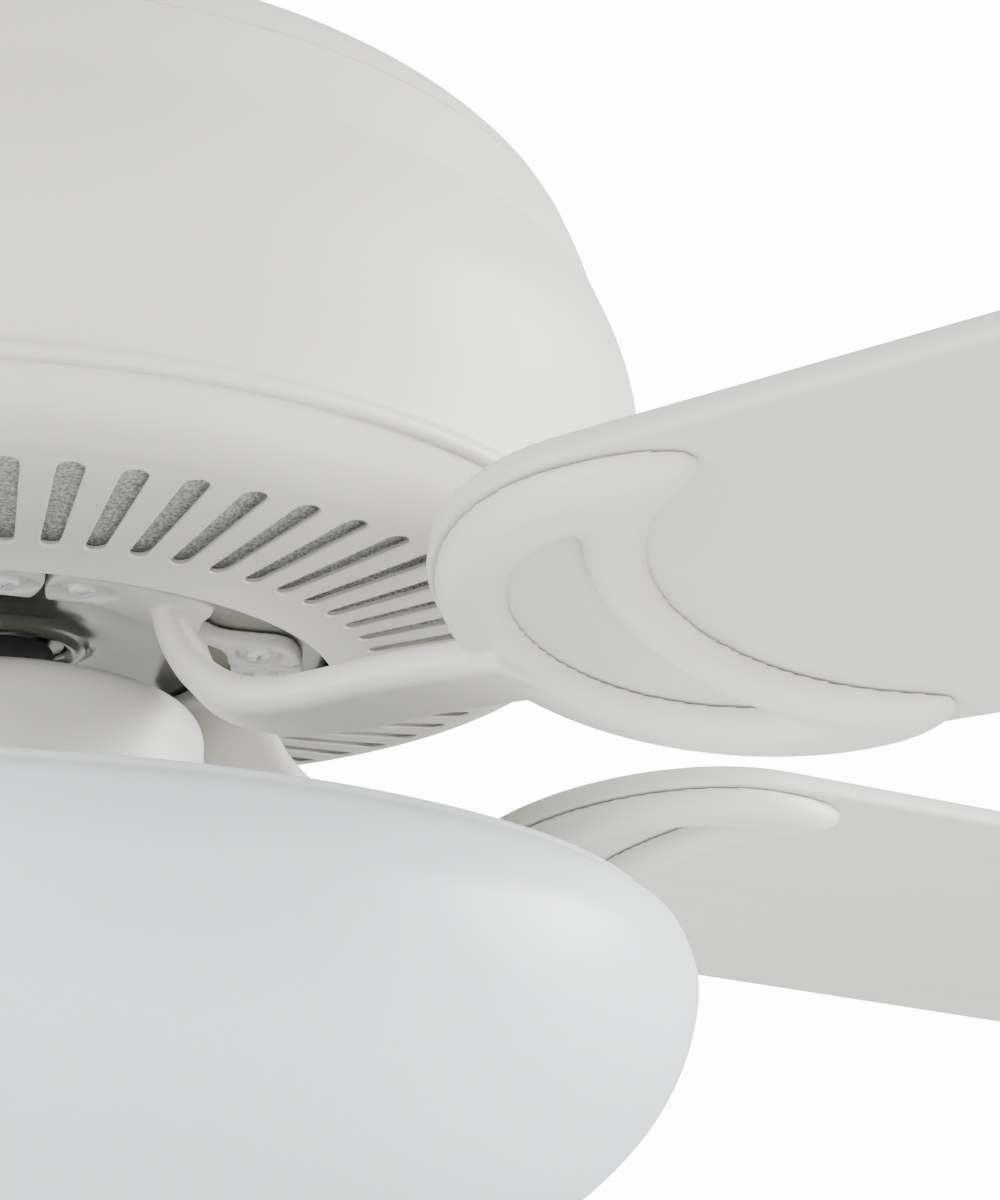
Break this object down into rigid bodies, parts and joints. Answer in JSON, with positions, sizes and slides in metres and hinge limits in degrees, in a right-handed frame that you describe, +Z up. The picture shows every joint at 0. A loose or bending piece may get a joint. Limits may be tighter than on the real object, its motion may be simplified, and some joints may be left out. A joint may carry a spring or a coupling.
{
  "type": "ceiling fan with light",
  "caption": "Ceiling fan on a short downrod: vented drum housing, paddle blades on crescent irons, frosted glass bowl light below.",
  "frame": {"origin": "centre of the hanger bracket's top face, where it meets the ceiling", "axes": "+Z up into the ceiling along the fan's turning axis; the camera side of the fan is -Y; blade 1 lies at azimuth -46.9 degrees"},
  "size_m": [1.2704, 1.2586, 0.502],
  "materials": {
    "white_paint": "satin warm white powder coat",
    "blade_white": "satin white film on board",
    "bare_steel": "zinc plated, lightly brushed",
    "zinc_mesh": "dull galvanised expanded mesh",
    "motor_aluminium": "glossy cast aluminium",
    "laminations": "stacked electrical steel",
    "copper_winding": "varnished copper wire",
    "black_plastic": "moulded black plastic",
    "white_screw": "white enamelled screw",
    "porcelain": "glazed white",
    "bulb_glass": "frosted white glass",
    "opal_glass": "acid-frosted opal white glass",
    "rubber": "soft rubber"
  },
  "bodies": {
    "ceiling_bracket": {"hanger_bracket": "bare_steel", "canopy": "white_paint", "canopy_screw_1": "white_paint", "canopy_screw_2": "white_paint"},
    "cross_pin": {"ball_pin": "bare_steel"},
    "hanging_frame": {"hanger_ball": "black_plastic", "downrod": "white_paint", "yoke": "bare_steel", "yoke_pin": "bare_steel", "yoke_cover": "white_paint", "upper_housing": "white_paint", "lower_housing": "white_paint", "vent_liner": "zinc_mesh", "motor_shaft": "bare_steel", "stator_core": "laminations", "winding_lower": "copper_winding", "winding_upper": "copper_winding", "switch_plate": "bare_steel", "switch_housing": "white_paint", "capacitor": "black_plastic", "reverse_switch": "black_plastic", "light_fitter": "white_paint", "fitter_screw_1": "white_paint", "fitter_screw_2": "white_paint", "fitter_screw_3": "white_paint", "lamp_socket_1": "porcelain", "lamp_socket_2": "porcelain", "lamp_socket_3": "porcelain", "bulb_1": "bulb_glass", "bulb_2": "bulb_glass", "bulb_3": "bulb_glass", "bowl_rod": "bare_steel", "glass_bowl": "opal_glass", "bowl_washer": "rubber", "finial": "white_paint"},
    "rotor": {"rotor_bottom": "motor_aluminium", "rotor_top": "motor_aluminium", "lower_bearing": "bare_steel", "upper_bearing": "bare_steel", "blade_iron_1": "white_paint", "blade_iron_2": "white_paint", "blade_iron_3": "white_paint", "blade_iron_4": "white_paint", "blade_iron_5": "white_paint", "blade_1": "blade_white", "blade_2": "blade_white", "blade_3": "blade_white", "blade_4": "blade_white", "blade_5": "blade_white", "iron_screw_1": "white_screw", "iron_screw_2": "white_screw", "iron_screw_3": "white_screw", "iron_screw_4": "white_screw", "iron_screw_5": "white_screw", "iron_screw_6": "white_screw", "iron_screw_7": "white_screw", "iron_screw_8": "white_screw", "iron_screw_9": "white_screw", "iron_screw_10": "white_screw"},
    "reverse_slider": {"reverse_slider": "black_plastic"}
  },
  "joints": [
    {"name": "ball_swing_x", "type": "hinge", "parent": "ceiling_bracket", "child": "cross_pin", "pos_m": [0, 0, -0.036], "axis": [1, 0, 0], "range_deg": [-8, 8]},
    {"name": "ball_swing_y", "type": "hinge", "parent": "cross_pin", "child": "hanging_frame", "pos_m": [0, 0, -0.036], "axis": [0, 1, 0], "range_deg": [-8, 8]},
    {"name": "rotor_spin", "type": "hinge", "parent": "hanging_frame", "child": "rotor", "pos_m": [0, 0, -0.32], "axis": [0, 0, 1], "continuous": true},
    {"name": "reverse_slide", "type": "slide", "parent": "hanging_frame", "child": "reverse_slider", "axis": [0, 0, 1], "range_m": [-0.006, 0]}
  ]
}
